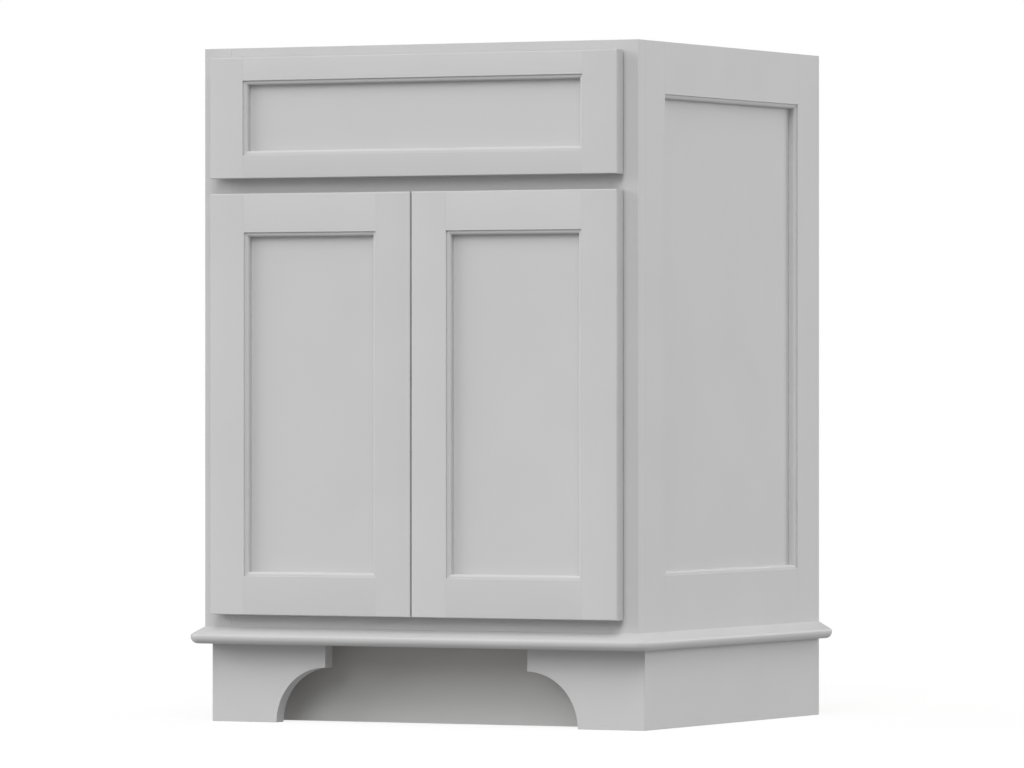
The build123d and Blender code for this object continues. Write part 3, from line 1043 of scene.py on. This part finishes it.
@dataclass(frozen=True)
class Base:
    """Bracket feet, side base boards, toe board and the moulding that wraps them."""

    foot_width: float = 0.1625
    arch_radius: float = 0.070
    arch_steps: int = 32
    ease: float = 0.0005
    projection: float = 0.0183
    moulding_height: float = 0.0215
    top_fall: float = 0.010
    top_round: float = 0.0037
    under_round: float = 0.009
    under_steps: int = 14
    over_steps: int = 10
    corner_steps: int = 12

    def build_foot(self, side: Side) -> None:
        """Makes a foot: its outline, with a quarter circle cut out, carried back to the mitre.

        Args:
            side: which foot.
        """
        node = f"{side.word}_foot"
        low, high = node_box(node)
        thickness, top = high[1] - low[1], high[2]
        outer = high[0] if side is Side.RIGHT else -low[0]
        inner = outer - self.foot_width
        cut = arc((inner, 0.0), self.arch_radius, 0.0, 90.0, self.arch_steps)
        outline = np.concatenate([cut, [(inner, top), (outer, top), (outer, 0.0)]])
        rings = np.empty((2, len(outline), 3))
        rings[:, :, 0] = outline[:, 0]
        rings[:, :, 1] = np.array([low[1], high[1]])[:, None]
        rings[:, :, 2] = outline[:, 1]
        rings[1, -2:, 0] -= thickness
        rings[:, :, 0] *= side.value
        paint_piece(node, carried(rings), Run.ACROSS, self.ease)

    def build_side_board(self, side: Side) -> None:
        """Makes a side base board: a rectangle carried from the front mitre to the wall.

        Args:
            side: which board.
        """
        node = f"{side.word}_base_board"
        low, high = node_box(node)
        shell = board(low, high, Run.BACK)
        inside = np.isclose(shell.points[:, 0], low[0] if side is Side.RIGHT else high[0])
        front = np.isclose(shell.points[:, 1], low[1])
        shell.points[inside & front, 1] += high[0] - low[0]
        paint_piece(node, shell, Run.BACK, self.ease)

    def moulding_section(self) -> Array:
        """The moulding's outline: flat underside, round nose, short face and a top that falls outwards.

        Returns:
            Rows of reach from the cabinet and height.
        """
        reach, nose, top = self.projection, self.under_round, self.top_round
        fall = math.atan2(self.top_fall, reach)
        shoulder = self.moulding_height - self.top_fall
        top_centre = (reach - top, shoulder + top * math.tan(fall) - top / math.cos(fall))
        under = arc((reach - nose, nose), nose, -90.0, 0.0, self.under_steps)
        over = arc(top_centre, top, 0.0, 90.0 - math.degrees(fall), self.over_steps)
        return np.concatenate([[(0.0, 0.0)], under, over, [(0.0, self.moulding_height)]])

    def moulding(self, corners: Array, turns: Array, bottom: float) -> Shell:
        """Carries the section past corners of the cabinet's plan, turned outwards at each step.

        Args:
            corners: the plan point behind the section at each step.
            turns: the section's direction at each step, in degrees from straight ahead.
            bottom: the underside's height.

        Returns:
            The length of moulding.
        """
        section = self.moulding_section()
        angles = np.radians(turns)
        outwards = np.stack([np.sin(angles), -np.cos(angles)], axis=1)
        rings = np.empty((len(turns), len(section), 3))
        rings[:, :, :2] = corners[:, None, :] + section[None, :, :1] * outwards[:, None, :]
        rings[:, :, 2] = bottom + section[:, 1]
        return carried(rings)

    def build_moulding(self) -> None:
        """Makes the front length with its round corners, and the two side lengths."""
        low, _ = node_box("base_moulding_front")
        _, side_high = node_box("base_moulding_right")
        right = side_high[0] - self.projection
        left, front = -right, low[1] + self.projection
        quarter = np.linspace(0.0, 45.0, self.corner_steps + 1)
        turns = np.concatenate([-quarter[::-1], quarter])
        corners = np.repeat([[left, front], [right, front]], len(quarter), axis=0)
        paint_piece("base_moulding_front", self.moulding(corners, turns, low[2]), Run.ACROSS)
        for side, x in ((Side.LEFT, left), (Side.RIGHT, right)):
            turns = side.value * np.append(45.0 + quarter, 90.0)
            corners = np.concatenate([np.repeat([[x, front]], len(quarter), axis=0), [[x, side_high[1]]]])
            paint_piece(f"base_moulding_{side.word}", self.moulding(corners, turns, low[2]), Run.BACK)

    def build(self) -> None:
        """Makes the feet, boards and moulding, and paints the toe board."""
        for side in Side:
            self.build_foot(side)
            self.build_side_board(side)
        self.build_moulding()
        dress_node("toe_kick_board", PAINT[Run.ACROSS])


@dataclass(frozen=True)
class Box:
    """The plywood box and the bare wood inside it."""

    def build(self) -> None:
        """Dresses each board by the way its grain runs and the way it is thick."""
        sides = PlywoodFinish(Run.UP, Run.ACROSS)
        backs = PlywoodFinish(Run.UP, Run.BACK)
        rails = PlywoodFinish(Run.ACROSS, Run.BACK)
        plywood = {
            "left_side_panel": sides, "right_side_panel": sides, "back_panel": backs,
            "hanging_rail": rails, "rear_base_board": rails,
            "cabinet_floor": PlywoodFinish(Run.ACROSS, Run.UP),
        }
        for node, finish in plywood.items():
            dress_node(node, finish)
        dress_node("corner_braces", BareWoodFinish(Run.ACROSS))
        for node in ("false_front_cleats", "foot_blocks"):
            dress_node(node, BareWoodFinish(Run.UP))


@dataclass(frozen=True)
class Screw:
    """A pan-head screw about its own axis: the head stands on z = 0, with the shank below it."""

    head_radius: float = 0.0032
    head_height: float = 0.0018
    rim_round: float = 0.0009
    crown: float = 0.00015
    recess_depth: float = 0.001
    recess_reach: float = 0.0019
    recess_half: float = 0.0006
    recess_slope: float = 0.00025
    recess_taper: float = 0.35
    crest: float = 0.0016
    core: float = 0.0011
    pitch: float = 0.0014
    thread_steepness: float = 1.8
    tip: float = 0.003
    around: int = 48
    top_rows: int = 18
    rim_steps: int = 5
    rows_per_pitch: int = 6

    def recess(self, x: Array, y: Array) -> Array:
        """How deep the driver's cross is cut below the head's top.

        With s the smaller and t the larger of |x| and |y|, the cut is full depth where s is under
        the arm's half width, which narrows towards the tip, and where t is under its reach. Both
        walls fall over a short slope.

        Args:
            x: places across the head.
            y: places up the head.

        Returns:
            The depth at each place.
        """
        s, t = np.minimum(np.abs(x), np.abs(y)), np.maximum(np.abs(x), np.abs(y))
        half = self.recess_half * (1.0 - self.recess_taper * t / self.recess_reach)
        beside = np.clip((half - s) / self.recess_slope + 0.5, 0.0, 1.0)
        along = np.clip((self.recess_reach - t) / (2.0 * self.recess_slope), 0.0, 1.0)
        return self.recess_depth * beside * along

    def shell(self, length: float) -> Shell:
        """The screw as one grid, turned about its axis from the head's middle to the tip.

        On the shank, with f the fraction of (depth / pitch - turn) and k the steepness, the thread
        stands out by 1 - k |2 f - 1| of its height, and core and thread shrink to nothing at the tip.

        Args:
            length: from under the head to the tip.

        Returns:
            The closed shell.
        """
        turn = np.linspace(0.0, 1.0, self.around, endpoint=False)
        flat = self.head_radius - self.rim_round
        top = np.linspace(0.0, flat, self.top_rows)
        dome = np.stack([top, self.head_height - self.crown * (top / flat) ** 2], axis=1)
        rim = arc((flat, dome[-1, 1] - self.rim_round), self.rim_round, 90.0, 0.0, self.rim_steps)
        head = np.concatenate([dome, rim[1:], [(self.head_radius, 0.0)]])
        rows = round(length / self.pitch * self.rows_per_pitch) + 1
        depth = np.linspace(0.0, length, rows)[:, None]
        fraction = (depth / self.pitch - turn) % 1.0
        thread = np.clip(1.0 - self.thread_steepness * np.abs(2.0 * fraction - 1.0), 0.0, 1.0)
        thread *= np.clip(depth / self.pitch - 1.0, 0.0, 1.0)
        shrink = np.clip((length - depth) / self.tip, 0.0, 1.0)
        shank = shrink * (self.core + (self.crest - self.core) * thread)
        radius = np.concatenate([head[:, :1] + 0.0 * turn, shank])
        height = np.concatenate([head[:, 1:], -depth]) + 0.0 * turn
        x, y = radius * np.cos(2.0 * math.pi * turn), radius * np.sin(2.0 * math.pi * turn)
        height[:self.top_rows] -= self.recess(x, y)[:self.top_rows]
        numbers = np.arange(radius.size).reshape(radius.shape)
        return Shell(np.stack([x, y, height], axis=-1).reshape(-1, 3), rows_of_quads(numbers, closed=True))


@dataclass(frozen=True)
class Bumper:
    """A soft disc with a flat back."""

    around: int = 40
    rows: int = 12

    def shell(self, radius: float, height: float) -> Shell:
        """The disc turned about its axis: its height is h sqrt(1 - (r / R)^4).

        Args:
            radius: R, the disc's radius.
            height: h, its height at the middle.

        Returns:
            The closed shell, with its back on z = 0.
        """
        turn = np.linspace(0.0, 2.0 * math.pi, self.around, endpoint=False)
        share = np.sin(np.linspace(0.0, 0.5 * math.pi, self.rows + 1))
        radii = np.append(radius * share, 0.0)[:, None]
        heights = np.append(height * np.sqrt(1.0 - share**4), 0.0)[:, None]
        points = np.stack([radii * np.cos(turn), radii * np.sin(turn), heights + 0.0 * turn], axis=-1)
        numbers = np.arange(points.size // 3).reshape(points.shape[:2])
        return Shell(points.reshape(-1, 3), rows_of_quads(numbers, closed=True))


@dataclass(frozen=True)
class Hardware:
    """Hinges, screws and bumpers."""

    screw: Screw = Screw()
    bumper: Bumper = Bumper()
    bumper_radius: float = 0.004
    arm_screw_length: float = 0.014
    arm_screw_spacing: float = 0.0254
    cup_screw_spacing: float = 0.045

    def pairs(self, low: float, high: float, reach: float, spacing: float) -> list[float]:
        """Heights of two pairs of screws, one pair at each end of their node's box.

        Args:
            low: the box's lower end.
            high: its upper end.
            reach: how far a head reaches from its middle.
            spacing: from screw to screw in a pair.

        Returns:
            Four heights.
        """
        first, last = low + reach, high - reach
        return [first, first + spacing, last - spacing, last]

    def build_screws(self, node: str, shells: list[Shell], body: str) -> None:
        """Makes one piece of a node's screws."""
        make_piece(f"driven_{node}", joined(shells), Dress(ZINC, Slot.SCREW, body, (node,)))

    def build_arm_screws(self) -> None:
        """Makes the screws that hold the hinge arms, heads towards the middle of the cabinet."""
        node = "hinge_arm_screws"
        low, high = node_box(node)
        shell = self.screw.shell(self.arm_screw_length)
        heights = self.pairs(low[2], high[2], self.screw.head_radius, self.arm_screw_spacing)
        y = 0.5 * (low[1] + high[1])
        shells = []
        for side in Side:
            x = side.value * (high[0] - self.arm_screw_length)
            up = (-side.value, 0.0, 0.0)
            shells += [shell.placed(Seat((x, y, z), Y_AXIS, Z_AXIS, up)) for z in heights]
        self.build_screws(node, shells, CABINET)

    def build_back_screws(self, node: str, places: list[Pair], body: str) -> None:
        """Makes the screws of a node whose heads face the back.

        Args:
            node: the node that they replace.
            places: their places across and up.
            body: the body that they ride on.
        """
        low, high = node_box(node)
        under_head = high[1] - self.screw.head_height
        shell = self.screw.shell(under_head - low[1])
        seats = [Seat((x, under_head, z), X_AXIS, Z_AXIS, Y_AXIS) for x, z in places]
        self.build_screws(node, [shell.placed(seat) for seat in seats], body)

    def build_bumpers(self, node: str, body: str) -> None:
        """Makes the bumpers of a node, one at each corner of its box.

        Args:
            node: the node that they replace.
            body: the body that they ride on.
        """
        low, high = node_box(node)
        shell = self.bumper.shell(self.bumper_radius, high[1] - low[1])
        across = np.unique(np.round((low[0] + self.bumper_radius, high[0] - self.bumper_radius), 6))
        shells = [
            shell.placed(Seat((x, low[1], z), X_AXIS, Z_AXIS, Y_AXIS))
            for x in across
            for z in (low[2] + self.bumper_radius, high[2] - self.bumper_radius)
        ]
        make_piece(f"soft_{node}", joined(shells), Dress(BUMPER, Slot.BUMPER, body, (node,)))

    def build(self) -> None:
        """Dresses the hinges and makes the screws and bumpers."""
        reach = self.screw.head_radius
        for side in Side:
            for word in ("cups", "pins", "arms"):
                dress_node(f"{side.word}_hinge_{word}", NICKEL)
            node = f"{side.word}_hinge_cup_screws"
            low, high = node_box(node)
            heights = self.pairs(low[2], high[2], reach, self.cup_screw_spacing)
            self.build_back_screws(node, [(0.5 * (low[0] + high[0]), z) for z in heights], side.door)
            self.build_bumpers(f"{side.word}_door_bumpers", side.door)
        self.build_arm_screws()
        node = "false_front_screws"
        low, high = node_box(node)
        ends_across, ends_up = ((low[axis] + reach, high[axis] - reach) for axis in (0, 2))
        corners = [(x, z) for x in ends_across for z in ends_up]
        self.build_back_screws(node, corners, CABINET)
        self.build_bumpers("false_front_bumpers", CABINET)


@dataclass(frozen=True)
class Lamp:
    """A broad light: where it stands, in degrees round from the front and up, and how wide it looks."""

    name: str
    around: float
    up: float
    strength: float
    width: float

    def build(self) -> None:
        """Makes the light, turned towards the cabinet."""
        lamp = bpy.data.lights.new(self.name, "SUN")
        lamp.energy = self.strength
        lamp.angle = math.radians(self.width)
        light = shown(self.name, lamp)
        light.rotation_euler = (math.radians(90.0 - self.up), 0.0, math.radians(self.around))


@dataclass(frozen=True)
class Studio:
    """Pale floor, soft light and the camera at the photograph's angle."""

    floor_half: float = 40.0
    camera_place: Triple = (4.3647, -8.5797, 0.4271)
    camera_turn: float = 26.96
    sensor: float = 36.0
    lens: float = 264.9
    lamps: tuple[Lamp, ...] = (
        Lamp("left_light", -67.0, 20.0, 1.64, 42.0),
        Lamp("front_light", 0.0, 30.0, 0.76, 34.0),
        Lamp("top_light", 30.0, 50.0, 1.46, 36.0),
        Lamp("right_light", 90.0, 10.0, 0.55, 34.0),
        Lamp("back_light", 140.0, 20.0, 1.2, 36.0),
    )
    ambient: float = 0.24
    floor_roughness: float = 0.9
    floor_gloss: float = 0.1
    floor_seen: float = 0.80
    floor_bounce: float = 0.38
    floor_glow: float = 0.80
    floor_white: float = 1.06

    def build_floor(self) -> None:
        """Makes the floor: pale to the eye, and an even weaker glow to the cabinet."""
        mesh = bpy.data.meshes.new("studio_floor")
        corners = np.array([[-1, -1, 0], [1, -1, 0], [1, 1, 0], [-1, 1, 0]]) * self.floor_half
        mesh.from_pydata(corners.tolist(), [], [[0, 1, 2, 3]])
        sheet = NodeSheet("pale_floor")
        sheet.set(
            Base_Color=rgba(*[self.floor_seen] * 3),
            Roughness=self.floor_roughness,
            Specular_IOR_Level=self.floor_gloss,
        )
        white = sheet.add("Emission", {"Color": WHITE, "Strength": self.floor_white})
        bounce = sheet.add("Emission", {"Color": WHITE, "Strength": self.floor_bounce})
        pale = sheet.add("MixShader", {0: self.floor_glow, 1: sheet.shader.outputs[0], 2: white.outputs[0]})
        seen = sheet.add("LightPath").outputs["Is Camera Ray"]
        both = sheet.add("MixShader", {0: seen, 1: bounce.outputs[0], 2: pale.outputs[0]})
        output = sheet.tree.nodes["Material Output"]
        sheet.put(output.inputs["Surface"], both.outputs[0])
        mesh.materials.append(sheet.material)
        shown("studio_floor", mesh)

    def build_surroundings(self) -> None:
        """Makes an even soft glow all round, which the camera sees as white."""
        world = bpy.data.worlds.new("studio")
        world.use_nodes = True
        tree = world.node_tree
        background = tree.nodes["Background"]
        background.inputs["Color"].default_value = WHITE
        seen = tree.nodes.new("ShaderNodeLightPath").outputs["Is Camera Ray"]
        strength = tree.nodes.new("ShaderNodeMapRange")
        strength.inputs["To Min"].default_value = self.ambient
        strength.inputs["To Max"].default_value = 1.0
        tree.links.new(seen, strength.inputs["Value"])
        tree.links.new(strength.outputs["Result"], background.inputs["Strength"])
        bpy.context.scene.world = world

    def build_camera(self) -> None:
        """Makes the level camera that looks at the cabinet's right front corner."""
        data = bpy.data.cameras.new("photo_camera")
        data.sensor_width = self.sensor
        data.lens = self.lens
        camera = shown("photo_camera", data)
        camera.location = self.camera_place
        camera.rotation_euler = (math.radians(90.0), 0.0, math.radians(self.camera_turn))
        bpy.context.scene.camera = camera

    def build(self) -> None:
        """Makes the floor, lights, surroundings and camera."""
        self.build_floor()
        for lamp in self.lamps:
            lamp.build()
        self.build_surroundings()
        self.build_camera()
        bpy.context.scene.view_settings.view_transform = "Standard"


def main() -> None:
    """Builds the pieces in order, then the floor, lights, surroundings and camera."""
    logging.basicConfig(level=logging.INFO, format="%(message)s", stream=sys.stdout)
    FaceFrame().build()
    fronts = Fronts()
    fronts.build_false_front()
    for side in Side:
        fronts.build_door(side)
        FinishedEnd(side).build()
    Base().build()
    Box().build()
    Hardware().build()
    Studio().build()


if __name__ == "__main__":
    main()
